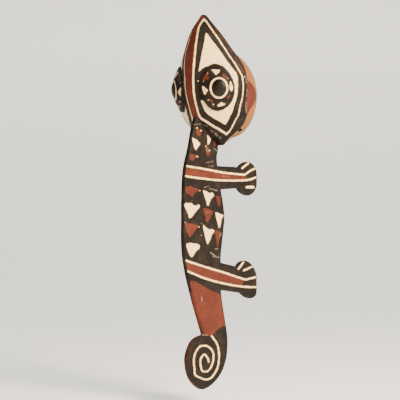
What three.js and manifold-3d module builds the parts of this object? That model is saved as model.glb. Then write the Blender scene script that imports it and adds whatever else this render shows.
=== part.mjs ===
// A chameleon wall mask, carved from one block of wood and painted afterwards.
//
// The pointed head is a hollow wedge: a narrow crest in front, a convex face with a
// raised eye on each side, and behind them a bowl that opens in a flat oval rim.
// The body below it is a thin plank seen from the side: neck, belly, two legs that
// reach back to flat soles, and a tail that ends in a round curl.
//
// Millimetres, +Z up, the crest faces -Y and the wall is on the +Y side. The model is
// the same on both sides of the plane X = 0. The origin is the point that hangs the
// mask: the top of the flat rim, in the middle of its wall.

import * as THREE from 'three';
import { mergeVertices } from 'three/addons/utils/BufferGeometryUtils.js';
import Module from 'manifold-3d';

// Overall sizes
const HEIGHT = 561; // tip of the snout to the bottom of the curl
const HEAD_LENGTH = 195; // tip of the snout to the jaw
const HEAD_WIDTH = 132; // cheek to cheek
const CREST_WIDTH = 14.4; // flat band down the front of the head

// Hollow back of the head
const RIM_DEPTH = 99; // front of the crest to the flat rim
const RIM_WIDTH = 104;
const RIM_WALL = 8;
const FACE_WALL = 23; // wood between the bottom of the bowl and the crest
const RIDGE_WIDTH = 6; // back of the snout, above the rim
const TIE_HOLE = 6; // drilled into the bowl from low behind each cheek

// Eyes
const EYE_WIDTH = 63;
const EYE_STRETCH = 1.1; // the eyes are a little taller than wide
const EYE_HEIGHT = 8.7; // face to the flat ring on top
const EYE_TOP_WIDTH = 29;
const EYE_ROOT = 7; // how far the eye's straight foot reaches into the face
const PUPIL_WIDTH = 22;
const PUPIL_HEIGHT = 4.2;
const EYE_TURN = 49; // degrees that the eye looks forward of straight sideways
const EYE_NOD = 3; // degrees that it looks down

// Plank of the body
const PLANK = 9;
const EDGE_ROUND = PLANK / 3;
const BODY_DEPTH = 95.5; // front of the belly to its back
const BELLY_LEAD = 14; // how far the belly stands in front of the crest
const CURL_WIDTH = 96;
const CURL_HEIGHT = 82;

// Legs and feet. The places of root, ankle and foot are shares of the trunk's length.
const SOLE_SETBACK = 61; // flat rim to the flat soles
const LEG_EMBED = 24; // how far a leg runs into the body
const FOOT_SPREAD = 31; // middle of the round foot to where it meets the leg
const SOLE_SPREAD = 24; // middle of the round foot to its back, before the sole is sawn
const SOLE_CUT = 4; // sawn off the round foot to make the flat sole
const FORE_LEG = {
  rootAt: 0.298, ankleAt: 0.295, footAt: 0.2995, rootWidth: 37, ankleWidth: 31, footWidth: 53, lean: 0,
};
const HIND_LEG = {
  rootAt: 0.737, ankleAt: 0.777, footAt: 0.767, rootWidth: 43, ankleWidth: 38.5, footWidth: 60, lean: 15,
};

// The carving's proportions down the head, as shares of its length
const RIM_SPAN = 0.631; // height of the oval rim
const RIM_AT = 0.621; // middle of the rim
const EYE_AT = 0.569; // middle of the eye
const NECK_AT = 0.74; // top of the trunk, inside the head
const TIE_HOLE_AT = 0.887;

// Its other proportions
const FACE_BULGE = 0.053; // of the way from crest to cheek
const SIDE_BULGE = 0.05; // of the way from cheek to rim
const CHIN_HOLLOW = 0.6; // how far the chin runs back between its two edges
const TIP_BACK = 0.39; // depth of the snout's tip, of the rim's
const JAW_BACK = 0.74; // depth of the jaw's back, of the rim's
const TIE_HOLE_BEHIND = 0.17; // of the way from cheek to rim
const TIE_HOLE_END = { across: 0.45, deep: 0.1, down: 0.7 }; // of the bowl's half sizes
const CURL_AT = 0.573; // middle of the curl, of the body's depth
const CURL_FALL = 0.477; // middle of the curl below the trunk, of its height

// How finely the curves are stepped
const FACE_STEPS = 7;
const SIDE_STEPS = 4;
const SNOUT_LEVELS = 10;
const SNOUT_CROWDING = 1.6; // how much closer the levels lie at the tip
const RIM_LEVELS = 20;
const JAW_LEVELS = 4;
const ROUND_STEPS = 32;
const BOWL_LEVELS = 20;
const PUPIL_STEPS = 4;
const HOLE_STEPS = 12;
const EDGE_STEPS = 2;
const OUTLINE_STEPS = 4;

// Heights and depths that follow from the sizes above
const RIM_HEIGHT = RIM_SPAN * HEAD_LENGTH;
const RIM_MIDDLE = -(RIM_HEIGHT - RIM_WALL) / 2;
const RIM_TOP = RIM_MIDDLE + RIM_HEIGHT / 2;
const RIM_BOTTOM = RIM_MIDDLE - RIM_HEIGHT / 2;
const TIP = RIM_MIDDLE + RIM_AT * HEAD_LENGTH;
const JAW = TIP - HEAD_LENGTH;
const TRUNK_TOP = TIP - NECK_AT * HEAD_LENGTH;
const TRUNK_BOTTOM = TIP - HEIGHT + CURL_HEIGHT;
const BOWL = { across: RIM_WIDTH / 2 - RIM_WALL, deep: RIM_DEPTH - FACE_WALL, down: RIM_HEIGHT / 2 - RIM_WALL };
const onTrunk = (share) => TRUNK_TOP + (TRUNK_BOTTOM - TRUNK_TOP) * share;
const back = (depth) => depth - RIM_DEPTH;

const WOOD = new THREE.MeshStandardMaterial({ color: 0x3a322d, roughness: 0.6, metalness: 0 });

const wasm = await Module();
wasm.setup();

function toSolid(geometry) {
  const bare = geometry.clone();
  bare.deleteAttribute('normal');
  bare.deleteAttribute('uv');
  const merged = mergeVertices(bare, 1e-4);
  return new wasm.Manifold(new wasm.Mesh({
    numProp: 3,
    vertProperties: new Float32Array(merged.attributes.position.array),
    triVerts: new Uint32Array(merged.index.array),
  }));
}

function toGeometry(solid) {
  const { vertProperties, triVerts } = solid.getMesh();
  const geometry = new THREE.BufferGeometry();
  geometry.setAttribute('position', new THREE.BufferAttribute(vertProperties, 3));
  geometry.setIndex(new THREE.BufferAttribute(triVerts, 1));
  geometry.computeVertexNormals();
  return geometry;
}

// A smooth curve through [position, value] pairs, as a function of the position.
function curveThrough(stations) {
  const slope = stations.map((station, i) => {
    const before = stations[Math.max(i - 1, 0)];
    const after = stations[Math.min(i + 1, stations.length - 1)];
    return (after[1] - before[1]) / (after[0] - before[0]);
  });
  const last = stations.length - 2;
  return (position) => {
    const passed = stations.filter((station) => station[0] <= position).length;
    const i = THREE.MathUtils.clamp(passed - 1, 0, last);
    const [start, from] = stations[i];
    const [end, to] = stations[i + 1];
    const span = end - start;
    const t = THREE.MathUtils.clamp((position - start) / span, 0, 1);
    const ease = t * t * (3 - 2 * t);
    const leave = slope[i] * span * t * (1 - t) ** 2;
    const arrive = slope[i + 1] * span * t * t * (t - 1);
    return from + (to - from) * ease + leave + arrive;
  };
}

// The head: depths and half widths at shares of its length, from the tip of the snout down.
const crestBack = curveThrough([
  [0, 0.335], [0.04, 0.285], [0.12, 0.167], [0.25, 0.06], [0.35, 0.008], [0.46, 0],
  [0.58, 0.011], [0.65, 0.045], [0.73, 0.109], [0.79, 0.164], [0.885, 0.35], [1, 0.59],
]);
const crestSpread = curveThrough([
  [0, 0.42], [0.04, 0.64], [0.12, 0.84], [0.25, 0.96], [0.35, 1], [0.79, 1], [0.885, 1.6], [1, 2.3],
]);
const cheekSpread = curveThrough([
  [0, 0.05], [0.015, 0.098], [0.038, 0.16], [0.07, 0.25], [0.16, 0.475], [0.25, 0.645], [0.35, 0.84],
  [0.42, 0.94], [0.56, 1], [0.74, 0.975], [0.82, 0.857], [0.885, 0.66], [0.95, 0.41], [1, 0.285],
]);
const cheekBack = curveThrough([
  [0, 0.365], [0.07, 0.366], [0.16, 0.402], [0.25, 0.46], [0.35, 0.517], [0.42, 0.552], [0.56, 0.583],
  [0.74, 0.595], [0.82, 0.639], [0.87, 0.657], [0.92, 0.627], [1, 0.612],
]);

// The head's back at a height: half the width of the rim, or of the ridge above and below it.
function rimCorner(z) {
  const share = (z - RIM_MIDDLE) / (RIM_HEIGHT / 2);
  const oval = Math.sqrt(Math.max(1 - share * share, 0)) * RIM_WIDTH / 2;
  const above = THREE.MathUtils.clamp((z - RIM_TOP) / (TIP - RIM_TOP), 0, 1);
  const below = THREE.MathUtils.clamp((RIM_BOTTOM - z) / (RIM_BOTTOM - JAW), 0, 1);
  const reach = 1 - (1 - TIP_BACK) * above - (1 - JAW_BACK) * below;
  const ridge = RIDGE_WIDTH / 2 * Math.min(1, crestSpread((TIP - z) / HEAD_LENGTH));
  return new THREE.Vector2(Math.max(oval, ridge), back(RIM_DEPTH * reach));
}

// A shallow arch from one corner of a section to the next.
function arch(from, to, bulge) {
  const across = to.clone().sub(from);
  const lift = new THREE.Vector2(across.y, -across.x).multiplyScalar(2 * bulge);
  const peak = from.clone().add(to).multiplyScalar(0.5).add(lift);
  return new THREE.QuadraticBezierCurve(from, peak, to);
}

// The face and the side of the head's right half at a share of its length.
function headArches(share) {
  const half = CREST_WIDTH / 2 * crestSpread(share);
  const crest = new THREE.Vector2(half, back(RIM_DEPTH * crestBack(share)));
  const cheek = new THREE.Vector2(HEAD_WIDTH / 2 * cheekSpread(share), back(RIM_DEPTH * cheekBack(share)));
  const rim = rimCorner(TIP - share * HEAD_LENGTH);
  return { face: arch(crest, cheek, FACE_BULGE), side: arch(cheek, rim, SIDE_BULGE) };
}

// One level of the head's right half, from the middle of the crest round to the back.
function halfSection(z) {
  const { face, side } = headArches((TIP - z) / HEAD_LENGTH);
  const crest = face.getPoint(0);
  const rim = side.getPoint(1);
  const chin = CHIN_HOLLOW * Math.max(crest.x - CREST_WIDTH / 2, 0);
  return [
    new THREE.Vector2(0, crest.y + chin),
    ...face.getPoints(FACE_STEPS).slice(0, -1),
    ...side.getPoints(SIDE_STEPS),
    new THREE.Vector2(0, rim.y),
  ];
}

// Levels lie close together where the outline turns quickly: at the tip and the rim's ends.
function headLevels() {
  const levels = [];
  for (let i = 0; i < SNOUT_LEVELS; i += 1) {
    levels.push(TIP + (RIM_TOP - TIP) * (i / SNOUT_LEVELS) ** SNOUT_CROWDING);
  }
  for (let i = 0; i < RIM_LEVELS; i += 1) {
    levels.push(RIM_MIDDLE + RIM_HEIGHT / 2 * Math.cos(Math.PI * i / RIM_LEVELS));
  }
  for (let i = 0; i <= JAW_LEVELS; i += 1) {
    levels.push(RIM_BOTTOM + (JAW - RIM_BOTTOM) * i / JAW_LEVELS);
  }
  return levels;
}

function headBlock() {
  const rings = headLevels().map((z) => {
    const right = halfSection(z);
    const left = right.slice(1, -1).reverse().map((point) => new THREE.Vector2(-point.x, point.y));
    return [...right, ...left].map((point) => new THREE.Vector3(point.x, point.y, z));
  });
  const count = rings[0].length;
  const positions = rings.flat().flatMap((point) => [point.x, point.y, point.z]);
  const triangles = [];
  for (let level = 0; level + 1 < rings.length; level += 1) {
    for (let i = 0; i < count; i += 1) {
      const a = level * count + i;
      const b = level * count + (i + 1) % count;
      triangles.push(a, a + count, b, b, a + count, b + count);
    }
  }
  const cap = (level, facesUp) => {
    const ring = rings[level];
    const middle = positions.length / 3;
    positions.push(0, (ring[0].y + ring[count / 2].y) / 2, ring[0].z);
    for (let i = 0; i < count; i += 1) {
      const edge = [level * count + i, level * count + (i + 1) % count];
      triangles.push(middle, ...(facesUp ? edge : edge.reverse()));
    }
  };
  cap(0, true);
  cap(rings.length - 1, false);
  const geometry = new THREE.BufferGeometry();
  geometry.setAttribute('position', new THREE.Float32BufferAttribute(positions, 3));
  geometry.setIndex(triangles);
  return toSolid(geometry);
}

// A raised eye: a low cone on a straight foot, with a flat ring and a domed pupil on top.
function eye(side) {
  const profile = [
    new THREE.Vector2(0, -EYE_ROOT),
    new THREE.Vector2(EYE_WIDTH / 2, -EYE_ROOT),
    new THREE.Vector2(EYE_WIDTH / 2, 0),
    new THREE.Vector2(EYE_TOP_WIDTH / 2, EYE_HEIGHT),
    new THREE.Vector2(PUPIL_WIDTH / 2, EYE_HEIGHT),
  ];
  for (let i = 1; i <= PUPIL_STEPS; i += 1) {
    const angle = Math.PI / 2 * i / PUPIL_STEPS;
    const radius = i < PUPIL_STEPS ? PUPIL_WIDTH / 2 * Math.cos(angle) : 0;
    profile.push(new THREE.Vector2(radius, EYE_HEIGHT + PUPIL_HEIGHT * Math.sin(angle)));
  }
  const geometry = new THREE.LatheGeometry(profile, ROUND_STEPS);
  geometry.rotateX(Math.PI / 2); // the lathe's axis now points along +Z
  geometry.scale(1, EYE_STRETCH, 1);
  const look = new THREE.Vector3(1, 0, 0)
    .applyAxisAngle(new THREE.Vector3(0, 1, 0), THREE.MathUtils.degToRad(EYE_NOD))
    .applyAxisAngle(new THREE.Vector3(0, 0, 1), -THREE.MathUtils.degToRad(EYE_TURN));
  const across = new THREE.Vector3(0, 0, 1).cross(look).normalize();
  const up = look.clone().cross(across);
  geometry.applyMatrix4(new THREE.Matrix4().makeBasis(across, up, look));
  const place = headArches(EYE_AT).face.getPoint(0.5);
  geometry.translate(place.x, place.y, TIP - EYE_AT * HEAD_LENGTH);
  return side > 0 ? toSolid(geometry) : toSolid(geometry).mirror([1, 0, 0]);
}

// The bowl behind the face: half an ellipsoid that opens in the rim.
function hollow() {
  const geometry = new THREE.SphereGeometry(1, ROUND_STEPS, BOWL_LEVELS);
  geometry.scale(BOWL.across, BOWL.deep, BOWL.down);
  geometry.translate(0, 0, RIM_MIDDLE);
  return toSolid(geometry);
}

// A drilled hole from low behind one cheek, up and inwards into the bowl.
function tieHole(side) {
  const { x, y } = headArches(TIE_HOLE_AT).side.getPoint(TIE_HOLE_BEHIND);
  const mouth = new THREE.Vector3(side * x, y, TIP - TIE_HOLE_AT * HEAD_LENGTH);
  const inside = new THREE.Vector3(
    side * BOWL.across * TIE_HOLE_END.across,
    -BOWL.deep * TIE_HOLE_END.deep,
    RIM_MIDDLE - BOWL.down * TIE_HOLE_END.down,
  );
  const way = mouth.clone().sub(inside);
  const length = way.length() + TIE_HOLE;
  const geometry = new THREE.CylinderGeometry(TIE_HOLE / 2, TIE_HOLE / 2, length, HOLE_STEPS);
  geometry.translate(0, length / 2, 0);
  const turn = new THREE.Quaternion().setFromUnitVectors(new THREE.Vector3(0, 1, 0), way.normalize());
  geometry.applyQuaternion(turn);
  geometry.translate(inside.x, inside.y, inside.z);
  return toSolid(geometry);
}

// A flat outline in depth and height, given the plank's thickness and rounded edges.
function plankFrom(shape) {
  const geometry = new THREE.ExtrudeGeometry(shape, {
    depth: PLANK - 2 * EDGE_ROUND,
    bevelThickness: EDGE_ROUND,
    bevelSize: EDGE_ROUND,
    bevelOffset: -EDGE_ROUND,
    bevelSegments: EDGE_STEPS,
    curveSegments: OUTLINE_STEPS,
  });
  const upright = new THREE.Matrix4().makeBasis(
    new THREE.Vector3(0, 1, 0),
    new THREE.Vector3(0, 0, 1),
    new THREE.Vector3(1, 0, 0),
  );
  geometry.applyMatrix4(upright);
  geometry.translate(EDGE_ROUND - PLANK / 2, 0, 0);
  return toSolid(geometry);
}

// Neck, belly and tail: [share of the way down the trunk, share of the body's depth].
const trunkFront = [
  [0, 0.353], [0.066, 0.243], [0.169, 0.146], [0.245, 0.055], [0.325, 0.015], [0.486, 0],
  [0.62, 0.009], [0.728, 0.094], [0.862, 0.265], [1, 0.48],
];
const trunkBack = [
  [1, 1.062], [0.956, 1.028], [0.804, 0.912], [0.656, 0.909], [0.602, 0.936],
  [0.49, 1], [0.419, 0.97], [0.352, 0.909], [0.218, 0.807], [0.151, 0.834], [0, 0.62],
];
// The curl: [share of its width, share of its height], from its middle.
const curlOutline = [
  [-0.231, 0.452], [-0.364, 0.375], [-0.469, 0.183], [-0.492, -0.018], [-0.416, -0.28], [-0.234, -0.472],
  [-0.047, -0.523], [0.198, -0.408], [0.383, -0.219], [0.484, 0.037], [0.503, 0.298],
];

function body() {
  const depth = (share) => back(BODY_DEPTH * share - BELLY_LEAD);
  const trunkPoint = ([down, share]) => new THREE.Vector2(depth(share), onTrunk(down));
  const curlPoint = ([across, up]) => new THREE.Vector2(
    depth(CURL_AT) + CURL_WIDTH * across,
    TRUNK_BOTTOM + CURL_HEIGHT * (up - CURL_FALL),
  );
  const front = trunkFront.map(trunkPoint);
  const shape = new THREE.Shape();
  shape.moveTo(front[0].x, front[0].y);
  shape.splineThru(front.slice(1));
  shape.splineThru([...curlOutline.map(curlPoint), ...trunkBack.map(trunkPoint)]);
  shape.closePath();
  return plankFrom(shape);
}

// A straight leg that runs back from the body and ends in a round foot, its sole still uncut.
function leg({ rootAt, ankleAt, footAt, rootWidth, ankleWidth, footWidth, lean }) {
  const rootY = back(BODY_DEPTH - BELLY_LEAD) - LEG_EMBED;
  const footY = SOLE_SETBACK + SOLE_CUT - SOLE_SPREAD;
  const shank = new THREE.Shape([
    new THREE.Vector2(rootY, onTrunk(rootAt) + rootWidth / 2),
    new THREE.Vector2(rootY, onTrunk(rootAt) - rootWidth / 2),
    new THREE.Vector2(footY, onTrunk(ankleAt) - ankleWidth / 2),
    new THREE.Vector2(footY, onTrunk(ankleAt) + ankleWidth / 2),
  ]);
  const outline = [];
  for (let i = 0; i < ROUND_STEPS; i += 1) {
    const angle = 2 * Math.PI * i / ROUND_STEPS;
    const reach = Math.cos(angle) < 0 ? FOOT_SPREAD : SOLE_SPREAD;
    const up = footWidth / 2 * Math.sin(angle);
    const along = reach * Math.cos(angle) - up * Math.tan(THREE.MathUtils.degToRad(lean));
    outline.push(new THREE.Vector2(footY + along, onTrunk(footAt) + up));
  }
  return plankFrom(shank).add(plankFrom(new THREE.Shape(outline)));
}

// Everything behind the plane of the soles.
function behindSoles() {
  const size = 2 * HEIGHT;
  const geometry = new THREE.BoxGeometry(size, size, size);
  geometry.translate(0, SOLE_SETBACK + size / 2, 0);
  return toSolid(geometry);
}

function mask() {
  let solid = headBlock().add(body());
  for (const limb of [FORE_LEG, HIND_LEG]) {
    solid = solid.add(leg(limb));
  }
  for (const side of [1, -1]) {
    solid = solid.add(eye(side));
  }
  solid = solid.subtract(hollow());
  for (const side of [1, -1]) {
    solid = solid.subtract(tieHole(side));
  }
  return solid.subtract(behindSoles());
}

const group = new THREE.Group();
const maskMesh = new THREE.Mesh(toGeometry(mask()), WOOD);
maskMesh.name = 'chameleon_mask';
group.add(maskMesh);

export default group;
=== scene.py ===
# %% [markdown]
# # A painted chameleon, carved to hang on a wall
#
# The real thing is one block of light wood, carved with a knife, painted charcoal
# black all over its front and then decorated by hand in cream and red-brown. Its
# hollow back is left bare. This lesson loads the carving at its real size, gives it
# the slightly uneven surface of hand work, draws the painted outlines on it, and
# mixes one material that turns those outlines into layers of paint.

# %% The frame
import math

import bpy
import numpy as np
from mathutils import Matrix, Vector


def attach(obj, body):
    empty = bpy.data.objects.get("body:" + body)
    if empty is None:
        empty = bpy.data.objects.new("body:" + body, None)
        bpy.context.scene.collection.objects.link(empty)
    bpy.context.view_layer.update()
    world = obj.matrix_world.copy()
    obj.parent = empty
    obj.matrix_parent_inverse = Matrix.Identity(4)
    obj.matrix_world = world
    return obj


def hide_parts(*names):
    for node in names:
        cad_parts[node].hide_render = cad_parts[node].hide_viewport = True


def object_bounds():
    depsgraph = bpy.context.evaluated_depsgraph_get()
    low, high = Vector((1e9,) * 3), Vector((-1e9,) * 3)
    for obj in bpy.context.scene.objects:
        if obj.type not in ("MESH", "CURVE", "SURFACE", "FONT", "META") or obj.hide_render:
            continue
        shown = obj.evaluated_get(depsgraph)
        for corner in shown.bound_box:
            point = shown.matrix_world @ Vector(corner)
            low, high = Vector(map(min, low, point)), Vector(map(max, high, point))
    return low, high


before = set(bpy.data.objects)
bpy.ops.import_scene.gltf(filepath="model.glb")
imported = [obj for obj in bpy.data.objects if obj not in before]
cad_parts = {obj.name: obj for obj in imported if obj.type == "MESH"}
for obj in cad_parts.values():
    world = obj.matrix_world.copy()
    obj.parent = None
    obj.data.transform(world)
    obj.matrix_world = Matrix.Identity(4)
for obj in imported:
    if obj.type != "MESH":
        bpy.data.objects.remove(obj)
cad_low, cad_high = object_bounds()
MM = 0.001
print("carving", [round((high - low) / MM) for low, high in zip(cad_low, cad_high)], "mm")

# %% [markdown]
# ## The camera
#
# The picture shows the carving from 40 degrees round to its right, at its own
# height, so that the crest, one whole cheek and the flat of the body all show. A long
# lens from 2.2 m keeps the upright edges upright. The camera comes first, because the
# painted outlines are later carried to the wood along its line of sight.

# %% The camera
AZIMUTH = math.radians(40)
DISTANCE = 2200 * MM
FRAME_PIXELS = 400
PIXEL = 1.5 * MM
SIGHT_ACROSS = -46.4 * MM
SIGHT_NEAR = 46 * MM
SIGHT_HEIGHT = -214 * MM
SENSOR = 36

rightwards = Vector((math.cos(AZIMUTH), math.sin(AZIMUTH), 0))
towards_camera = Vector((math.sin(AZIMUTH), -math.cos(AZIMUTH), 0))
sight = rightwards * SIGHT_ACROSS + towards_camera * SIGHT_NEAR + Vector((0, 0, SIGHT_HEIGHT))

bpy.ops.object.select_all(action="DESELECT")
bpy.ops.object.camera_add(location=sight + towards_camera * DISTANCE)
camera = bpy.context.object
camera.rotation_euler = (math.pi / 2, 0, AZIMUTH)
camera.data.lens = SENSOR * DISTANCE / (FRAME_PIXELS * PIXEL)
camera.data.sensor_width = SENSOR
bpy.context.scene.camera = camera
print("lens", round(camera.data.lens), "mm")

# %% [markdown]
# ## The studio
#
# A pale floor that sweeps up into a backdrop has no corner, so nothing behind the
# carving competes with its outline. It is a strip of plane, bent by extruding its far
# edge in small steps round a quarter circle.

# %% The sweep
FLOOR_GAP = 25 * MM
FLOOR_FRONT = -5.0
SWEEP_START = 2.6
SWEEP_RADIUS = 0.9
SWEEP_STEPS = 16
SWEEP_HALF_WIDTH = 5.0
BACKDROP_HEIGHT = 3.5


def select_only(thing):
    bpy.ops.object.select_all(action="DESELECT")
    thing.select_set(True)
    bpy.context.view_layer.objects.active = thing


def make_sweep():
    bpy.ops.object.select_all(action="DESELECT")
    bpy.ops.mesh.primitive_plane_add(size=2, location=(0, 0, cad_low.z - FLOOR_GAP))
    sweep = bpy.context.object
    sweep.name = "pale_sweep"
    for corner in sweep.data.vertices:
        corner.select = corner.co.y > 0
        corner.co.x *= SWEEP_HALF_WIDTH
        corner.co.y = SWEEP_START if corner.select else FLOOR_FRONT
    for edge in sweep.data.edges:
        edge.select = all(sweep.data.vertices[i].select for i in edge.vertices)
    for face in sweep.data.polygons:
        face.select = False
    bpy.ops.object.mode_set(mode="EDIT")
    bpy.ops.mesh.select_mode(type="EDGE")
    step = math.pi / 2 / SWEEP_STEPS
    for i in range(SWEEP_STEPS):
        angle = step * (i + 0.5)
        length = SWEEP_RADIUS * step
        move = (0, math.cos(angle) * length, math.sin(angle) * length)
        bpy.ops.mesh.extrude_edges_move(TRANSFORM_OT_translate={"value": move})
    bpy.ops.mesh.extrude_edges_move(TRANSFORM_OT_translate={"value": (0, 0, BACKDROP_HEIGHT)})
    bpy.ops.object.mode_set(mode="OBJECT")
    select_only(sweep)
    bpy.ops.object.shade_smooth()
    sweep.rotation_euler.z = AZIMUTH
    return sweep


sweep = make_sweep()
print("sweep", len(sweep.data.polygons), "faces")

# %% [markdown]
# ## The light
#
# The right side of the carving is bright and its crest and far side are dark, with
# no hard shadow. So one broad warm light stands at the right and a little above, and
# two weak ones, low at the left and high behind, keep the shaded sides readable. All
# three are aimed at the body.

# %% The light
LIGHTS = {
    "key_light": {"azimuth": 80, "elevation": 26, "distance": 2.0, "size": 0.9, "power": 142,
                  "colour": (1.0, 0.87, 0.68)},
    "fill_light": {"azimuth": -25, "elevation": 12, "distance": 2.4, "size": 1.6, "power": 3,
                   "colour": (1.0, 0.93, 0.84)},
    "top_light": {"azimuth": 150, "elevation": 62, "distance": 2.2, "size": 1.6, "power": 6,
                  "colour": (1.0, 0.96, 0.90)},
}
WORLD_COLOUR = (1.0, 0.95, 0.88, 1)
WORLD_LEVEL = 0.15


def soft_light(name, azimuth, elevation, distance, size, power, colour):
    turn = math.radians(azimuth)
    lift = math.radians(elevation)
    level = math.cos(lift)
    away = Vector((math.sin(turn) * level, -math.cos(turn) * level, math.sin(lift)))
    bpy.ops.object.select_all(action="DESELECT")
    bpy.ops.object.light_add(type="AREA", location=sight + away * distance)
    lamp = bpy.context.object
    lamp.name = name
    lamp.rotation_euler = (-away).to_track_quat("-Z", "Y").to_euler()
    lamp.data.shape = "DISK"
    lamp.data.size = size
    lamp.data.energy = power
    lamp.data.color = colour


for name, facts in LIGHTS.items():
    soft_light(name, **facts)

world = bpy.data.worlds.new("studio")
bpy.context.scene.world = world
world.use_nodes = True
world.node_tree.nodes["Background"].inputs["Color"].default_value = WORLD_COLOUR
world.node_tree.nodes["Background"].inputs["Strength"].default_value = WORLD_LEVEL
print("lights", list(LIGHTS))

# %% [markdown]
# ## Carving the surface
#
# The solid in the frame has the right form but flat facets, which a knife and
# sandpaper would have taken off. A copy of it is merged into one skin, rebuilt as an
# even net of small squares and relaxed a little: that rounds every edge by about a
# millimetre, as sanding does, and leaves the outline where it was. Two clouds of
# noise then push the skin in and out by a fraction of a millimetre, one as wide as a
# thumb and one as wide as a knife's stroke. The hollow was never sanded, so it keeps
# the scoops of the gouge.

# %% The tools for the skin
NET = 1.44 * MM
MERGE_GAP = 0.01 * MM
RELAX_PASSES = 3
RELAX_SHARE = 0.5


def apply_modifier(thing, kind, **settings):
    select_only(thing)
    modifier = thing.modifiers.new(kind.lower(), kind)
    for key, value in settings.items():
        setattr(modifier, key, value)
    bpy.ops.object.modifier_apply(modifier=modifier.name)


def push(thing, kind, width, height, group=""):
    """Move the skin in and out by a texture, up to the given height."""
    texture = bpy.data.textures.new(kind.lower(), kind)
    texture.noise_scale = width
    apply_modifier(thing, "DISPLACE", texture=texture, texture_coords="LOCAL",
                   strength=height, mid_level=0.5, vertex_group=group)


def read_points(mesh, kind):
    values = np.empty(len(mesh.vertices) * 3, np.float32)
    mesh.vertices.foreach_get(kind, values)
    return values.reshape(-1, 3).astype(float)


# %% [markdown]
# The hollow is half of an egg, and each tie hole is a straight drilled line. Both are
# needed as places, since the gouge's scoops and the paint depend on them.

# %% The places of the hollow and of the tie holes
BOWL_MIDDLE = np.array([0, 0, -57.5]) * MM
BOWL_HALF = np.array([44, 76, 53.5]) * MM
BOWL_WALL = 1.08
HOLE_MOUTH = np.array([41.6, -28.3, -109.4]) * MM
HOLE_END = np.array([19.8, -7.6, -95]) * MM
HOLE_RADIUS = 3.3 * MM


def beyond_bowl(places):
    """How far points lie outside the hollow, negative on its wall and inside it."""
    share = np.linalg.norm((places - BOWL_MIDDLE) / BOWL_HALF, axis=1)
    return (share - BOWL_WALL) * BOWL_HALF[0]


def beyond_hole(places):
    """How far points lie outside the drilled hole, negative on its wall."""
    along = (HOLE_MOUTH - HOLE_END) / np.linalg.norm(HOLE_MOUTH - HOLE_END)
    offset = places - HOLE_END
    across = offset - (offset @ along)[:, None] * along
    return np.linalg.norm(across, axis=1) - HOLE_RADIUS


# %% [markdown]
# With those places known, the skin is made.

# %% The skin
SWELL_WIDTH = 30 * MM
SWELL_HEIGHT = 0.5 * MM
STROKE_WIDTH = 7 * MM
STROKE_HEIGHT = 0.22 * MM
SCOOP_WIDTH = 9 * MM
SCOOP_HEIGHT = 1.6 * MM


def carve_skin():
    skin = bpy.data.objects.new("carved_chameleon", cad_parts["chameleon_mask"].data.copy())
    bpy.context.scene.collection.objects.link(skin)
    skin.data.materials.clear()
    select_only(skin)
    bpy.ops.object.mode_set(mode="EDIT")
    bpy.ops.mesh.select_all(action="SELECT")
    bpy.ops.mesh.remove_doubles(threshold=MERGE_GAP)
    bpy.ops.object.mode_set(mode="OBJECT")
    skin.data.remesh_voxel_size = NET
    bpy.ops.object.voxel_remesh()
    apply_modifier(skin, "SMOOTH", factor=RELAX_SHARE, iterations=RELAX_PASSES)
    hollow = skin.vertex_groups.new(name="hollow")
    inside = np.flatnonzero(beyond_bowl(read_points(skin.data, "co")) < 0)
    hollow.add(inside.tolist(), 1, "REPLACE")
    push(skin, "VORONOI", SCOOP_WIDTH, SCOOP_HEIGHT, "hollow")
    push(skin, "CLOUDS", SWELL_WIDTH, SWELL_HEIGHT)
    push(skin, "CLOUDS", STROKE_WIDTH, STROKE_HEIGHT)
    bpy.ops.object.shade_smooth()
    return skin


carving = carve_skin()
triangles = sum(len(face.vertices) - 2 for face in carving.data.polygons)
print("skin", len(carving.data.vertices), "points,", triangles, "triangles")

# %% [markdown]
# The rim and the soles bear on the wall, so they stay flat, and no point of the skin
# is pushed out past the size of the solid.

# %% The flats
SOLE = cad_high.y
FLAT_REACH = 1.2 * MM
FLAT_FACING = 0.9


def flatten(places, facing, level):
    near = (np.abs(places[:, 1] - level) < FLAT_REACH) & (facing[:, 1] > FLAT_FACING)
    places[near, 1] = level
    return int(near.sum())


points = read_points(carving.data, "co")
normals = read_points(carving.data, "normal")
flat = flatten(points, normals, 0) + flatten(points, normals, SOLE)
points = np.clip(points, np.array(cad_low), np.array(cad_high))
carving.data.vertices.foreach_set("co", points.ravel())
carving.data.update()
print("flat", flat, "points on the rim and soles")

# %% [markdown]
# ## Where each point of the skin shows in the picture
#
# The painter worked freehand, so the outlines follow no formula: they are drawn with
# a few points each, in pixels of the 400 by 400 frame. Brush strokes are smoothed into
# curves, and filled shapes run straight from point to point. To lay them on the wood,
# every point of the skin is looked at through the camera. Both sides of the carving
# are painted alike, so a point on the far side uses the place of its mirror image. The
# far pattern sits a millimetre nearer to the crest than a perfect mirror image would.

# %% The places of the skin's points
FAR_SHIFT = 1.1 * MM

on_far_side = points[:, 0] < 0
on_near_side = points.copy()
on_near_side[:, 0] = np.abs(points[:, 0])
painted_as = on_near_side.copy()
painted_as[on_far_side, 0] += FAR_SHIFT


def in_picture(places):
    offset = places - np.array(sight)
    enlarged = DISTANCE / (DISTANCE - offset @ np.array(towards_camera)) / PIXEL
    across = FRAME_PIXELS / 2 + offset @ np.array(rightwards) * enlarged
    down = FRAME_PIXELS / 2 - offset[:, 2] * enlarged
    return np.column_stack([across, down])


seen = in_picture(painted_as)
print("picture frame", seen.min(0).round(1), seen.max(0).round(1))

# %% [markdown]
# ## Brush strokes and filled shapes as distances
#
# A painted shape is stored as a distance: negative inside it, zero on its edge,
# positive outside, all in pixels. Distances join with the smaller value and cut with
# the larger one, and the material can later soften or roughen the edge as it likes.

# %% Distances
CURVE_STEPS = 5


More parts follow.
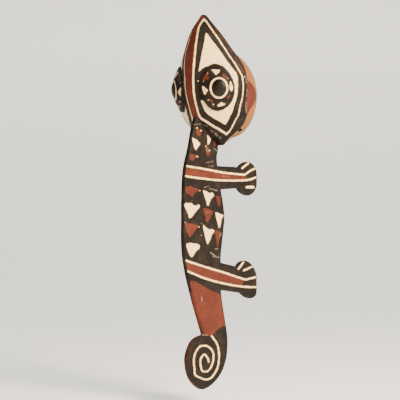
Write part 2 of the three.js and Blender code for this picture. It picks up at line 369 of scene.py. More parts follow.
def curved(outline):
    """A smooth open line through the outline's points."""
    path = np.array(outline, float)
    padded = np.vstack([2 * path[0] - path[1], path, 2 * path[-1] - path[-2]])
    before, path, after, final = padded[:-3], padded[1:-2], padded[2:-1], padded[3:]
    share = np.linspace(0, 1, CURVE_STEPS, endpoint=False)[:, None, None]
    line = 0.5 * (2 * path + (after - before) * share
                  + (2 * before - 5 * path + 4 * after - final) * share ** 2
                  + (3 * path - before - 3 * after + final) * share ** 3)
    return np.vstack([line.transpose(1, 0, 2).reshape(-1, 2), after[-1]])


def to_line(line):
    """The distance from every point of the skin to a line in the picture."""
    nearest = np.full(len(seen), np.inf)
    for start, end in zip(line[:-1], line[1:]):
        along = end - start
        share = np.clip((seen - start) @ along / (along @ along), 0, 1)
        gap = seen - start - share[:, None] * along
        nearest = np.minimum(nearest, np.hypot(gap[:, 0], gap[:, 1]))
    return nearest


def stroke(outline, width):
    return to_line(curved(outline)) - width / 2


def shape(outline):
    """The distance to a filled outline, negative inside it."""
    line = np.array([*outline, outline[0]], float)
    inside = np.zeros(len(seen), bool)
    for start, end in zip(line[:-1], line[1:]):
        if start[1] == end[1]:
            continue
        beside = (start[1] > seen[:, 1]) != (end[1] > seen[:, 1])
        slope = (end[0] - start[0]) / (end[1] - start[1])
        inside ^= beside & (seen[:, 0] < start[0] + (seen[:, 1] - start[1]) * slope)
    return to_line(line) * np.where(inside, -1, 1)


def dot(across, down, width):
    return np.hypot(seen[:, 0] - across, seen[:, 1] - down) - width / 2


def join(*distances):
    return np.minimum.reduce(distances)


def within(distance, *limits):
    return np.maximum.reduce([distance, *limits])


# %% [markdown]
# ## Regions of the carving
#
# Some borders follow the wood and not the brush. The cheek's edge parts the painted
# face from the bare shell, the crest is the narrow band in front, and the patterns of
# the body stay on its flat sides, because the painter left its narrow edges plain.
# The cheek's edge is a list of heights with a depth at each, in millimetres.

# %% Regions
CHEEK_EDGE = [(64, -63), (45, -62), (30, -58), (15, -53), (0, -48), (-15, -44), (-45, -41.3),
              (-80, -40), (-96, -36), (-106, -34), (-116, -36.9), (-132, -38.4)]
JAW = -134 * MM
NECK_TOP = -74 * MM
FLAT_START = 3.1 * MM
FLAT_END = 6.5 * MM
CREST_RED_HALF = 4.9 * MM
CREST_HALF = 6.0 * MM

edge_heights, edge_depths = zip(*reversed(CHEEK_EDGE))
cheek_edge = np.interp(points[:, 2] / MM, edge_heights, edge_depths) * MM
behind_cheek = (points[:, 1] - cheek_edge) / PIXEL
outside_bowl = beyond_bowl(points) / PIXEL
below_jaw = (JAW - points[:, 2]) / PIXEL
above_neck = (points[:, 2] - NECK_TOP) / PIXEL
off_flat = within(FLAT_START - on_near_side[:, 0], on_near_side[:, 0] - FLAT_END) / PIXEL
print("hollow", int((outside_bowl < 0).sum()), "points of the skin")

# %% [markdown]
# ## The cream and red of the head
#
# Each cheek carries a tall kite: a cream line round it, a black band inside that, and
# a cream field with the eye's black disc on it. The crest between the two kites is
# red, and a red patch fills the corner behind each eye.

# %% The kite
KITE_FRONT = [(204, 19.2), (202.4, 20.8), (200.8, 23.4), (198.9, 27.2), (198, 31.1), (197.3, 35),
              (196.9, 38.8), (196.2, 42.7), (195.6, 46.5), (194.9, 54.2), (194.2, 61.8),
              (193.8, 67.5), (193.3, 75), (193.2, 80), (193.4, 86), (193.8, 92.5), (194.8, 99),
              (196, 105), (198.1, 112.5), (199.8, 116.6), (201.3, 118.6)]
KITE_JAW = [(201.3, 118.6), (205.2, 120.9), (209.1, 123.5), (212.9, 125.8), (216.8, 128.1),
            (220.6, 130.4), (224.5, 132.7), (226.6, 134)]
KITE_BACK = [(226.6, 134), (229.1, 131.7), (231.4, 128.3), (233.7, 123.8), (236, 119.2), (238.3, 115),
             (240.2, 106), (241.8, 100.4), (242.6, 95.1), (243.2, 89.8), (243.2, 84.6),
             (242.8, 79.6), (241.9, 75.8), (240.3, 72.6), (237.8, 68.4), (235.4, 64.2),
             (232.7, 60.4), (230, 56.5), (226.2, 50.7), (222.3, 44.9), (218.5, 38.8),
             (214.6, 33.4), (210.8, 28), (206.6, 21.8), (204, 19.2)]
FRONT_WIDTH = 1.75
JAW_WIDTH = 2.2
BACK_WIDTH = 1.35
FIELD = [(206.5, 32.8), (209.9, 37.5), (213.1, 41.8), (216.9, 46.5), (220.4, 51.1), (225.4, 58.4),
         (230.1, 64.9), (233.6, 69.5), (236.8, 73.7), (237.8, 76.8), (237.9, 81.1), (237.8, 88.1),
         (237.5, 93.3), (236.4, 98.6), (235.4, 102.1), (233.9, 106.3), (232.6, 111.3),
         (229.2, 118), (225.6, 124.9), (221.4, 122.7), (216.8, 120), (212.2, 117.3), (207.4, 113.8),
         (205.3, 111.2), (203.4, 107.7), (202, 103.9), (200.8, 100.4), (198.7, 90), (198.7, 70.5),
         (199.3, 67), (200.3, 61.8), (201.2, 57.2), (202.3, 51.1), (203.8, 44.2), (204.7, 38.8),
         (205.6, 33.8)]
EYE_DISC = [(198.3, 71.2), (199.6, 70.9), (202, 68.8), (204.8, 66.8), (208.3, 66), (210.8, 64.6),
            (213.9, 63.7), (217.5, 63.9), (221, 65.1), (224.1, 67), (226.6, 69.5), (229, 72.3),
            (231.1, 75.4), (233.2, 79.6), (234.6, 84.6), (235, 88.8), (234.6, 93.3), (233.9, 97.2),
            (232.2, 101.1), (230.1, 104.2), (227.6, 106.7), (224.8, 108.8), (221.7, 110.2),
            (217.8, 111.1), (214.3, 110.5), (211.1, 109.1), (208.3, 107), (206.2, 104.6),
            (204.5, 102.1), (202.7, 100.2), (200.3, 100.2), (197.6, 96), (197.4, 76)]

kite = join(stroke(KITE_FRONT, FRONT_WIDTH), stroke(KITE_JAW, JAW_WIDTH), stroke(KITE_BACK, BACK_WIDTH))
field = within(shape(FIELD), -shape(EYE_DISC))
print("kite", int((kite < 0).sum()), "points of the skin, field", int((field < 0).sum()))

# %% The eye's ring, pupil and triangles
EYE_MIDDLE = (219.0, 87.9)
RING_RADII = (8.5, 9.9)
RING_WIDTH = 1.8
PUPIL_RADII = (7.0, 8.3)
OVAL_STEPS = 28
EYE_CREAM = [
    [(211.3, 70), (212.2, 69.3), (219.9, 69.6), (220.1, 70.9), (219.2, 72.1), (217.5, 73.7),
     (216.2, 75.1), (215.5, 74.7), (213.2, 71.6)],
    [(230.4, 81.1), (231.5, 82.5), (232.9, 86.7), (232.7, 89.8), (231.5, 91.1), (230.4, 90.5),
     (229.3, 87), (229.7, 83.2)],
    [(222.2, 101.9), (223.4, 103.2), (225.5, 103.3), (225.2, 104.6), (223.1, 105.6), (217.8, 106.8),
     (216.9, 106.5), (218.2, 104.7), (220.3, 102.6)],
    [(201.8, 85.3), (205.2, 87.7), (208.5, 90.5), (207.3, 91.6), (206.2, 93.3), (205.4, 95.1),
     (204.3, 94.7), (202.5, 89.5)],
]
EYE_RED = [
    [(222.4, 73.3), (223.4, 73), (226.6, 76.1), (227.5, 77.5), (226.2, 77.9), (224.8, 78.8),
     (223.1, 77.5), (222.2, 76.1)],
    [(228.7, 94.9), (230.4, 95.1), (230.1, 96.5), (228.7, 98.6), (227.8, 99.6), (227.1, 96.8)],
    [(210.1, 98.8), (211.8, 99.3), (212.9, 100.7), (213.2, 102.5), (212.5, 103.7), (209.6, 101.1)],
    [(206.9, 74), (208, 75.1), (209.4, 76.8), (209, 78.2), (208, 80.2), (206.2, 79.6),
     (204.5, 80.5), (203.2, 80.9), (202.9, 78.9), (204.1, 76.5), (205.5, 74.7)],
]
HEAD_DOTS = [(207.4, 73.3, 1.5), (203.4, 81.2, 1.1), (198, 81.1, 1.5), (198.4, 85.3, 1.2),
             (208.3, 100, 1.6), (213.3, 104.5, 1.6), (227.8, 78.4, 0.9), (244.6, 76.7, 1.4)]


def oval(radii):
    turns = np.linspace(0, 2 * math.pi, OVAL_STEPS)
    middle = np.array(EYE_MIDDLE)
    return middle + np.column_stack([radii[0] * np.cos(turns), radii[1] * np.sin(turns)])


ring = to_line(oval(RING_RADII)) - RING_WIDTH / 2
pupil = shape(oval(PUPIL_RADII)[:-1])
eye_cream = join(ring, *[shape(outline) for outline in EYE_CREAM])
eye_red = join(*[shape(outline) for outline in EYE_RED])
head_dots = join(*[dot(*place) for place in HEAD_DOTS])
print("eye", len(EYE_CREAM), "cream and", len(EYE_RED), "red triangles")

# %% The crest, the cheek's corner and the thin red line above the cheek
CREST_FAR = [(190, 119), (165, 119), (165, 8), (204, 8)]
CREST_END = 116.9
CHEEK_PATCH = [(246.9, 79.6), (251.8, 83.7), (254.6, 88.6), (256.3, 93.3), (256.2, 98.5), (253.6, 104.2),
               (250.2, 109.3), (246.9, 115), (245.6, 111.3), (245, 104.4), (246.4, 100), (247.3, 92.5)]
UPPER_EDGE = [(213, 24.9), (218, 32), (223.1, 38.8), (228.5, 46.5), (233.8, 54.8), (237, 61),
              (240.5, 67), (243.2, 71.8)]
UPPER_EDGE_WIDTH = 0.65
PATCH_BACK = -5 * MM

crest = within(shape([*KITE_FRONT, *CREST_FAR]), seen[:, 1] - CREST_END)
cheek_patch = within(shape(CHEEK_PATCH), (points[:, 1] - PATCH_BACK) / PIXEL)
upper_edge = stroke(UPPER_EDGE, UPPER_EDGE_WIDTH)
print("crest", int((crest < 0).sum()), "points")

# %% [markdown]
# ## The pattern of the body
#
# Rows of triangles point down the neck and the body, cream and red by turns. Two
# cream lines with red between them run out along each leg and end in the toes. The
# tail is plain red-brown, and its black curl carries one cream spiral. The red goes on
# round the curl's narrow edge, but only in patches there, so that edge is darker.

# %% The body's cream triangles
BODY_CREAM = [
    [(192.2, 137.8), (194.5, 138.5), (197.5, 140.4), (199.8, 142.7), (200.2, 144.2), (198.3, 146.9),
     (196, 150.2), (194.8, 148.8), (193.7, 145), (192.5, 140.8)],
    [(207.2, 135), (208.7, 136.2), (211, 138.5), (210.6, 140.4), (208.3, 145), (207.4, 143.8),
     (207.5, 140)],
    [(203.1, 190.1), (205.6, 190.8), (208.8, 192.9), (210.9, 193.1), (212, 192), (212.9, 193.3),
     (214.1, 195.1), (213.8, 196.1), (212.4, 197.2), (210.9, 199.4), (208.8, 204.7),
     (207.9, 206.3), (207.1, 205.1), (206.3, 201.1), (204.7, 196.1), (203.4, 192.2)],
    [(184.1, 204.4), (186.3, 202.7), (188.4, 203.1), (190.6, 202.7), (192.4, 204), (194.1, 205.4),
     (196.6, 205.4), (199.1, 204.7), (200, 206.1), (199.5, 207.6), (197.4, 209.7), (193.1, 215.4),
     (191.3, 217.6), (190, 218.4), (189, 217.6), (188.3, 214.7), (187, 211.1), (185.2, 207.6)],
    [(215.2, 212.2), (217.7, 212.6), (219.9, 214), (223.4, 214.9), (223.1, 216.1), (221.3, 219.7),
     (220.9, 224), (219.5, 227.9), (218.8, 228.6), (218.1, 225.4), (217, 221.1), (215.9, 215.4)],
    [(203.3, 224.7), (204.9, 226.1), (207, 228.3), (209.5, 229.4), (212, 229.1), (214.5, 230.4),
     (213.4, 232.6), (211.6, 235.4), (210.6, 239), (208.8, 242.6), (207.6, 244.1), (206.6, 242.6),
     (204.5, 234), (203.3, 228.3)],
    [(186.6, 243.6), (189.9, 242.9), (193.4, 243.4), (197, 243.9), (199.5, 245.1), (199.9, 247.2),
     (198.8, 249), (196.3, 251.1), (193.4, 255.8), (192, 257), (190.6, 256.5), (189.1, 253.6),
     (187.7, 250.4), (186.6, 246.9)],
]
BODY_DOTS = [(197.2, 127.9, 1.4), (201, 130.8, 1.6), (209.5, 150.5, 1.4), (206, 146.2, 1.1),
             (197.2, 156.5, 1.7), (199.9, 190.5, 1.3), (199, 226.9, 1.5), (185.1, 222.4, 1.1),
             (201.4, 235.3, 1.0), (201.6, 223.6, 0.8), (196.4, 235.1, 0.7), (217.5, 248.2, 0.9)]
body_cream = join(*[shape(outline) for outline in BODY_CREAM], *[dot(*place) for place in BODY_DOTS])
print("body", len(BODY_CREAM), "cream triangles")

# %% The body's red triangles
BODY_RED = [
    [(196, 128.1), (198.7, 128.8), (200.2, 129.6), (200.8, 132.3), (200.6, 134.6), (199.1, 136.3),
     (197.5, 135.4), (196.6, 133.1), (196, 130.4)],
    [(213.3, 140.8), (214.8, 140.4), (215.6, 142.3), (215.8, 145), (214.8, 147.3), (213.7, 146.2),
     (212.9, 143.1)],
    [(205.2, 145.4), (207.2, 146.5), (209.1, 148.5), (209.8, 150.8), (210, 153.8), (209.1, 155.8),
     (207.5, 156.9), (206.6, 154.6), (205.8, 150)],
    [(189.8, 153.8), (191.8, 153.5), (193.3, 154.2), (195.6, 154.6), (197.2, 156.2), (195.6, 158.5),
     (192.8, 161.5), (191.4, 160.4), (189.7, 159.2)],
    [(185.2, 187.6), (186.3, 186.5), (191.3, 186), (194.1, 187.6), (197.4, 188.6), (199.5, 190.1),
     (198.8, 191), (196.3, 191.9), (194.9, 193.6), (192.6, 197.4), (190.6, 195.8), (188.8, 194.4),
     (186.3, 193.3), (185.6, 190.4)],
    [(215.6, 195.8), (219.9, 196), (220.6, 198.3), (220.6, 201.9), (219.9, 205.4), (219, 207.9),
     (218.1, 206.1), (217.4, 202.6), (216.3, 198.6)],
    [(202.7, 208.3), (207, 208.1), (209.9, 209.4), (213.4, 211.5), (212.4, 214), (210.6, 217.2),
     (208.8, 220.8), (207.4, 222.6), (205.9, 221.1), (205.2, 216.9), (203.8, 212.6)],
    [(184.5, 221.9), (187.4, 222.9), (191.3, 223.6), (195.6, 224.7), (199.5, 226), (198.1, 227.6),
     (195.6, 229.7), (192, 235.4), (190.2, 237.7), (189, 236.9), (187.7, 233.3), (185.9, 228.3),
     (184.9, 224.7)],
    [(215.2, 230.8), (217, 230.4), (219.1, 231.5), (221.3, 232), (220.6, 234.7), (219.9, 238.3),
     (217.7, 247.2), (217.1, 246.9), (216.6, 242.6), (215.6, 236.9), (214.9, 233.3)],
]
RED_SPLASH = (191.8, 200.9, 1.8)
body_red = join(*[shape(outline) for outline in BODY_RED], dot(*RED_SPLASH))
print("body", len(BODY_RED), "red triangles")

# %% The legs
FORE_TOP = [(184.6, 165.8), (203.3, 168.8), (219.4, 171.9), (230.5, 173.5), (244.8, 174.7)]
FORE_BOTTOM = [(184.0, 175.9), (202.7, 178.6), (223.5, 180.4), (245.7, 180.2), (255.7, 177.5)]
HIND_TOP = [(185.1, 260.3), (205.7, 267.1), (222.9, 272.2), (243.6, 279), (250, 278.5), (255.2, 277.2)]
HIND_BOTTOM = [(185.6, 270.4), (205.7, 278.6), (224.3, 283.6), (241.4, 286.5), (255.7, 287.2)]
LEG_LINE_WIDTH = 1.9
FORE_TOES = [[(242.2, 168.2), (248.4, 163.2)], [(245.2, 174.4), (250, 171), (254.4, 168.8)]]
HIND_TOES = [[(238.6, 268.8), (243.4, 262.3)], [(244, 270.4), (252, 266.7)]]
TOE_WIDTH = 1.8
WORN_TOE = [(246.8, 187.1), (253.2, 187.2)]
WORN_TOE_WIDTH = 2.6
FORE_BAND_END = [(246.4, 177.4)]
HIND_BAND_END = [(243.6, 282.6)]
BAND_POINTS = 4

leg_tops = [stroke(FORE_TOP, LEG_LINE_WIDTH), stroke(HIND_TOP, LEG_LINE_WIDTH)]
leg_bottoms = [stroke(FORE_BOTTOM, LEG_LINE_WIDTH), stroke(HIND_BOTTOM, LEG_LINE_WIDTH)]
toes = [stroke(line, TOE_WIDTH) for line in FORE_TOES + HIND_TOES]
leg_cream = join(*leg_tops, *leg_bottoms, *toes, stroke(WORN_TOE, WORN_TOE_WIDTH))
fore_band = shape([*FORE_TOP, *FORE_BAND_END, *reversed(FORE_BOTTOM[:BAND_POINTS])])
hind_band = shape([*HIND_TOP[:BAND_POINTS], *HIND_BAND_END, *reversed(HIND_BOTTOM[:BAND_POINTS])])
print("legs", int((leg_cream < 0).sum()), "points in cream")

# %% The tail and its spiral
TAIL = [(150, 281.2), (191, 281), (195.7, 281.4), (201, 284.6), (207.1, 288.6), (214, 291.6),
        (221, 295.2), (231, 297), (231, 324), (225.7, 325.5), (221.5, 327), (218.4, 328.8),
        (215, 332.3), (213.2, 334.4), (210.7, 335.5), (207.9, 335.9), (204.6, 334.9), (150, 334.7)]
SPIRAL = [(211.8, 335.9), (213.6, 338.7), (215.7, 341.6), (217.5, 345.1), (218.6, 350.1),
          (219.1, 355.1), (218.9, 360.1), (218, 365.9), (216.4, 370.1), (213.9, 374.4),
          (211.4, 377.6), (206.8, 379.6), (202.1, 378.6), (197.9, 376.6), (195.1, 374.8),
          (194.6, 370.1), (194.1, 365.1), (193.9, 360.1), (194.6, 355.1), (196.4, 350.9),
          (198.7, 347.6), (201.4, 345.9), (204.6, 345.7), (207.5, 346.2), (210.4, 348.4),
          (212.5, 350.9), (213.6, 355.1), (213.4, 359.4), (212.1, 364.4), (210, 368.7),
          (207.5, 371.2), (203.6, 371.6), (201.6, 369.8), (200.7, 365.1), (200.5, 360.9),
          (201.4, 357.3), (204.3, 354.4), (206.4, 356.2), (207.9, 358.7), (208.7, 361.9)]
SPIRAL_WIDTH = 1.7
RED_EDGE_TOP = -350 * MM
RED_EDGE_BACK = -8 * MM
CURL_TOP = -414 * MM
CURL_PATCHINESS = 0.05

spiral = stroke(SPIRAL, SPIRAL_WIDTH)
tail = shape(TAIL)
off_edge = (on_near_side[:, 0] - FLAT_START) / PIXEL
above_tail = (points[:, 2] - RED_EDGE_TOP) / PIXEL
behind_edge = (points[:, 1] - RED_EDGE_BACK) / PIXEL
# on the curl the red of the narrow edge comes out patchy, so that edge is darker
patchy_curl = np.where(points[:, 2] < CURL_TOP, CURL_PATCHINESS, -np.inf)
tail_edge = within(off_edge, above_tail, behind_edge, patchy_curl)
print("spiral", int((spiral < 0).sum()), "points")

# %% [markdown]
# ## Wear
#
# The paint is worn. Pale scratches lie where the neck meets the jaw, at the roots of
# the legs, on the tail and along the cheek's edge, and the black is rubbed brown along
# every sharp edge. How sharp an edge is shows in the net itself: at a convex edge the
# neighbours of a point lie below it.

# %% Scratches
SCRATCHES = [
    ([(202, 297), (201.7, 300.7)], 1.0), ([(215.4, 133.4), (216.9, 135.6)], 1.5),
    ([(219.6, 137), (221, 138.2)], 1.0), ([(211, 130.6), (215.6, 134.2)], 0.5),
    ([(204, 125), (206.9, 126.4)], 1.0), ([(193.6, 124.4), (201.6, 124)], 0.5),
    ([(204.4, 187.4), (208.6, 186.2)], 0.8), ([(210, 188.6), (217.6, 190.8)], 0.9),
    ([(206.6, 162.8), (212.8, 161.2)], 0.9), ([(208.6, 165.8), (213.8, 166.4)], 0.6),
    ([(210.6, 252.6), (215.6, 256.4)], 1.1), ([(212.8, 256.6), (219.2, 257.4)], 0.8),
    ([(215.2, 249), (217.8, 249.2)], 0.8), ([(219.4, 236.8), (221, 233.4)], 0.7),
    ([(205.2, 212.2), (210, 212)], 0.6), ([(206.2, 147), (207.4, 153)], 0.5),
    ([(214.2, 148.4), (217, 151)], 0.6), ([(200.6, 334.6), (207.8, 335.4)], 0.8),
    ([(245.6, 77), (247, 83.4)], 0.7), ([(247, 89), (246.6, 97)], 0.6),
    ([(245.8, 102), (246.2, 112.6)], 0.7), ([(222.4, 176.2), (230, 177)], 0.5),
    ([(213.6, 126.4), (219.8, 130)], 0.5), ([(226.8, 274.4), (232, 276.2)], 0.5),
]

scratches = join(*[stroke(line, width) for line, width in SCRATCHES])
print("scratches", int((scratches < 0).sum()), "points")

# %% Sharp edges
pairs = np.empty(len(carving.data.edges) * 2, np.int32)
carving.data.edges.foreach_get("vertices", pairs)
pairs = pairs.reshape(-1, 2)
around = np.zeros_like(points)
count = np.bincount(pairs.ravel(), minlength=len(points))[:, None]
np.add.at(around, pairs[:, 0], points[pairs[:, 1]])
np.add.at(around, pairs[:, 1], points[pairs[:, 0]])
sharpness = -((around / count - points) * normals).sum(1) / NET
print("sharpest edge", round(float(sharpness.max()), 2))

# %% [markdown]
# A small hole, as if for a cord, is drilled behind each cheek. The holes and a ring round
# their mouths are painted dark, as painted shade: the shade a deep, narrow hole holds.

# %% The tie holes
MOUTH_SEEN = (240, 130.6, 3.9)
MOUTH_REACH = 8 * MM

outside_hole = beyond_hole(on_near_side) / PIXEL
outside_mouth = (np.linalg.norm(on_near_side - HOLE_MOUTH, axis=1) - MOUTH_REACH) / PIXEL
# painted shade: a dark ring of wood round the mouth of each hole
shaded_mouth = within(dot(*MOUTH_SEEN), outside_mouth)
print("holes", int((outside_hole < 0).sum()), "points, mouths", int((shaded_mouth < 0).sum()))

# %% [markdown]
# ## The layers
#
# The shapes are now sorted by colour. Cream lies on top of red, and both on black;
# behind the cheek's edge and in the hollow the wood is bare, apart from the red
# corner patch. On the far cheek the red crest stops short of the cream line, leaving a
# thin black border, and the black band beside the cream field is a little wider.

# %% Sorting the shapes by colour
FACE_BORDER = 0.4
SHELL_BORDER = 1.2
FAR_BAND = 10
LAYER_REACH = 20

off_face = within(behind_cheek + FACE_BORDER, below_jaw, -outside_bowl)
off_body = within(off_flat, above_neck)
# on the far cheek the red stops short of the cream line, so a thin black strip is left between them
far_crest = np.where(on_far_side, on_near_side[:, 0] - CREST_HALF, np.inf) / PIXEL
beside_red = (on_near_side[:, 0] - CREST_RED_HALF) / PIXEL
far_red = within(beside_red, points[:, 0] / PIXEL, seen[:, 1] - CREST_END)
kite = within(kite, -far_crest)
far_band = np.where(on_far_side, FAR_BAND - to_line(curved(KITE_FRONT)), -np.inf)
field = within(field, -far_crest, far_band)

cream_head = within(join(kite, field, eye_cream, head_dots), off_face)
cream_body = within(join(body_cream, leg_cream, spiral), off_body)
red_head = within(join(crest, far_red, eye_red, upper_edge), off_face)
red_body = join(within(join(body_red, fore_band, hind_band, tail), off_body), tail_edge)
patch = within(cheek_patch, below_jaw, -outside_bowl)
bare = join(within(SHELL_BORDER - behind_cheek, below_jaw, -cheek_patch), outside_bowl)


def keep(name, values):
    layer = carving.data.attributes.new(name, "FLOAT", "POINT")
    layer.data.foreach_set("value", np.clip(values, -LAYER_REACH, LAYER_REACH).astype(np.float32))
    print(name, "is below zero on", round(100 * float((values < 0).mean()), 1), "% of the skin")


keep("cream", join(cream_head, cream_body))
keep("red", join(red_head, red_body, patch))
keep("bare", bare)
keep("pupil", within(pupil, off_face))
keep("scratch", within(scratches, -outside_bowl))
# the hole layer carries painted shade, in the holes and round their mouths
keep("hole", join(outside_hole, shaded_mouth))
keep("sharp", sharpness)

# %% [markdown]
# ## The paint and the wood
#
# One material holds bare wood and three paints. Each layer is mixed over the one
# below by its distance, with noise added so that the border wavers like a brush line.
# Two small classes keep the maths of it readable. Some sockets of a node share a name,
# so those are told apart by their numbers.

# %% Writing shader maths as Python
class Wire:
    """A number, colour or vector in a material. Operators on it add the nodes."""

    def __init__(self, finish, socket):
        self.finish = finish
        self.socket = socket

    def math(self, operation, *values):
        return self.finish.node("ShaderNodeMath", {"operation": operation}, dict(enumerate(values)))

    def __add__(self, other):
        return self.math("ADD", self, other)

    def __radd__(self, other):
        return self.math("ADD", other, self)

    def __sub__(self, other):
        return self.math("SUBTRACT", self, other)

    def __rsub__(self, other):
        return self.math("SUBTRACT", other, self)

    def __mul__(self, other):
        return self.math("MULTIPLY", self, other)

    def __rmul__(self, other):
        return self.math("MULTIPLY", other, self)


# %% A material, built node by node
MIX_SHARE, MIX_UNDER, MIX_OVER, MIX_COLOUR = 0, 6, 7, 2
ATTRIBUTE_NUMBER = 2
OBJECT_PLACE = 3


class Finish:
    def __init__(self, name):
        self.material = bpy.data.materials.new(name)
        self.material.use_nodes = True
        self.tree = self.material.node_tree
        self.shader = self.tree.nodes["Principled BSDF"]

    def node(self, kind, settings=None, values=None, output=0):
        made = self.tree.nodes.new(kind)
        for key, value in (settings or {}).items():
            setattr(made, key, value)
        for key, value in (values or {}).items():
            self.connect(made.inputs[key], value)
        return Wire(self, made.outputs[output])

    def connect(self, socket, value):
        if isinstance(value, Wire):
            self.tree.links.new(value.socket, socket)
        elif socket.type == "RGBA":
            socket.default_value = (*value, 1)
        else:
            socket.default_value = value

    def noise(self, place, scale, detail=2, roughness=0.5):
        values = {"Vector": place, "Scale": scale, "Detail": detail, "Roughness": roughness}
        return self.node("ShaderNodeTexNoise", {}, values)

    def stretched(self, place, scale):
        return self.node("ShaderNodeMapping", {}, {"Vector": place, "Scale": scale})

    def mix(self, share, under, over):
        settings = {"data_type": "RGBA", "clamp_factor": True}
        return self.node("ShaderNodeMix", settings, {MIX_SHARE: share, MIX_UNDER: under, MIX_OVER: over},
                         MIX_COLOUR)

    def step(self, value, low, high, from_level=0.0, to_level=1.0):
        settings = {"interpolation_type": "SMOOTHSTEP"}
        values = {0: value, 1: low, 2: high, 3: from_level, 4: to_level}
        return self.node("ShaderNodeMapRange", settings, values)

    def layer(self, name):
        return self.node("ShaderNodeAttribute", {"attribute_name": name}, {}, ATTRIBUTE_NUMBER)


# %% The colours
BLACK = (0.0065, 0.0042, 0.0028)
BLACK_WORN = (0.020, 0.0136, 0.0098)
BLACK_RUBBED = (0.078, 0.040, 0.020)
CREAM = (0.97, 0.71, 0.35)
# ochre near each cream border: thin paint, and painted shade at the inner edge of the eye's ring
CREAM_THIN_AND_SHADED = (0.60, 0.28, 0.10)
RED = (0.070, 0.0140, 0.0075)
RED_LIGHT = (0.114, 0.0255, 0.0132)
WOOD_LIGHT = (0.285, 0.116, 0.036)
WOOD_DARK = (0.18, 0.069, 0.020)
# painted shade for the inside of the tie holes and the rings round their mouths
HOLE_SHADE = (0.016, 0.009, 0.005)
SCRATCH = (0.30, 0.24, 0.18)

# %% [markdown]
# Each border has a softness and a raggedness, in pixels of the picture. The spans say
# between which levels of a noise a wear sets in, and how strong it is at either end.

# %% The noises, borders and spans
WAVER_SCALE = 190
FLUTTER_SCALE = 700
BLOTCH_SCALE = 60
FLECK_SCALE = 420
BRUSH_STRETCH = (900, 900, 160)
GRAIN_STRETCH = (520, 520, 22)
RING_STRETCH = (70, 70, 5)
MIDDLE_LEVEL = 0.5

CREAM_BORDER = (0.25, 0.9)
CREAM_CORE = (0.8, 1.6)
RED_BORDER = (0.28, 1.0)
BARE_BORDER = (0.3, 1.7)
CLEAN_BORDER = (0.3, 0.2)
SCRATCH_BORDER = (0.6, 1.0)
FLUTTER_SHARE = 0.7

SCRATCH_SPAN = (0.34, 0.60, 0.1, 0.7)
RUBBED_SPAN = (0.10, 0.34, 0, 0.7)
BLACK_SPAN = (0.50, 0.72)
RED_SPAN = (0.42, 0.72)
THIN_SPAN = (0.36, 0.55, 0.45, 1.0)

ROUGHNESS = 0.60
SPECULAR = 0.16
BUMP_STRENGTH = 0.55
BUMP_HEIGHT = 0.9 * MM


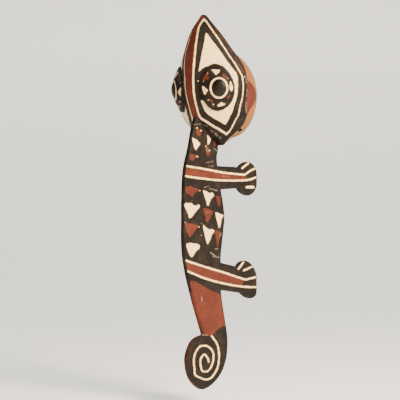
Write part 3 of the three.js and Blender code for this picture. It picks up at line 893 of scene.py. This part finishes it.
# %% The finish of the carving
def painted_wood():
    finish = Finish("hand_painted_wood")
    place = finish.node("ShaderNodeTexCoord", {}, {}, OBJECT_PLACE)
    waver = finish.noise(place, WAVER_SCALE) - MIDDLE_LEVEL
    flutter = finish.noise(place, FLUTTER_SCALE) - MIDDLE_LEVEL
    blotch = finish.noise(place, BLOTCH_SCALE, detail=3)
    fleck = finish.noise(place, FLECK_SCALE, detail=3, roughness=0.6)
    brushed = finish.noise(finish.stretched(place, BRUSH_STRETCH), 1, detail=3)
    grain = finish.noise(finish.stretched(place, GRAIN_STRETCH), 1, detail=4, roughness=0.6)
    rings = finish.noise(finish.stretched(place, RING_STRETCH), 1)

    def cover(name, border):
        softness, raggedness = border
        edge = finish.layer(name) + waver * raggedness + flutter * (raggedness * FLUTTER_SHARE)
        return finish.step(edge, softness, -softness)

    cream_on = cover("cream", CREAM_BORDER)
    cream_core = cover("cream", CREAM_CORE)
    red_on = cover("red", RED_BORDER)
    bare_on = cover("bare", BARE_BORDER)
    pupil_on = cover("pupil", CLEAN_BORDER)
    hole_shade_on = cover("hole", CLEAN_BORDER)
    scratch_on = cover("scratch", SCRATCH_BORDER) * finish.step(fleck, *SCRATCH_SPAN)
    rubbed = finish.step(finish.layer("sharp") + waver * 0.25 + flutter * 0.35, *RUBBED_SPAN)

    wood = finish.mix(grain * 0.6 + rings * 0.4, WOOD_DARK, WOOD_LIGHT)
    black = finish.mix(finish.step(blotch * 0.6 + fleck * 0.5, *BLACK_SPAN), BLACK, BLACK_WORN)
    black = finish.mix(rubbed, black, BLACK_RUBBED)
    red = finish.mix(finish.step(fleck * 0.6 + blotch * 0.5, *RED_SPAN), RED, RED_LIGHT)
    # the cream turns ochre towards its borders: thin paint there, and painted shade where the eye's ring
    # meets the pupil
    thin = cream_core * finish.step(fleck * 0.4 + brushed * 0.6, *THIN_SPAN)
    cream = finish.mix(thin, CREAM_THIN_AND_SHADED, CREAM)
    colour = finish.mix(bare_on, black, wood)
    colour = finish.mix(red_on, colour, red)
    colour = finish.mix(cream_on, colour, cream)
    colour = finish.mix(scratch_on, colour, SCRATCH)
    # painted shade: the holes and the rings round their mouths turn dark
    colour = finish.mix(hole_shade_on, colour, HOLE_SHADE)

    rough = ROUGHNESS + blotch * 0.14 + bare_on * 0.08 - pupil_on * 0.22
    texture = brushed * 0.10 + fleck * 0.06 + grain * (0.04 + bare_on * 0.22)
    height = texture * (1 - pupil_on * 0.9)
    relief = {"Strength": BUMP_STRENGTH, "Distance": BUMP_HEIGHT, "Height": height}
    bump = finish.node("ShaderNodeBump", {}, relief)
    finish.connect(finish.shader.inputs["Base Color"], colour)
    finish.connect(finish.shader.inputs["Roughness"], rough)
    finish.connect(finish.shader.inputs["Normal"], bump)
    finish.connect(finish.shader.inputs["Specular IOR Level"], SPECULAR)
    return finish.material


carving.data.materials.append(painted_wood())

# %% The floor's finish
PAPER = (0.90, 0.885, 0.86)
PAPER_GLOW = 0.85
PAPER_ROUGHNESS = 0.9


def pale_paper():
    finish = Finish("pale_paper")
    finish.connect(finish.shader.inputs["Base Color"], PAPER)
    finish.connect(finish.shader.inputs["Roughness"], PAPER_ROUGHNESS)
    finish.connect(finish.shader.inputs["Emission Color"], PAPER)
    finish.connect(finish.shader.inputs["Emission Strength"], PAPER_GLOW)
    return finish.material


sweep.data.materials.append(pale_paper())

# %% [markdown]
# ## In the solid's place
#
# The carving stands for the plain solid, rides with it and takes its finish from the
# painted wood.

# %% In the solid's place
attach(carving, "root")
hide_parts("chameleon_mask")
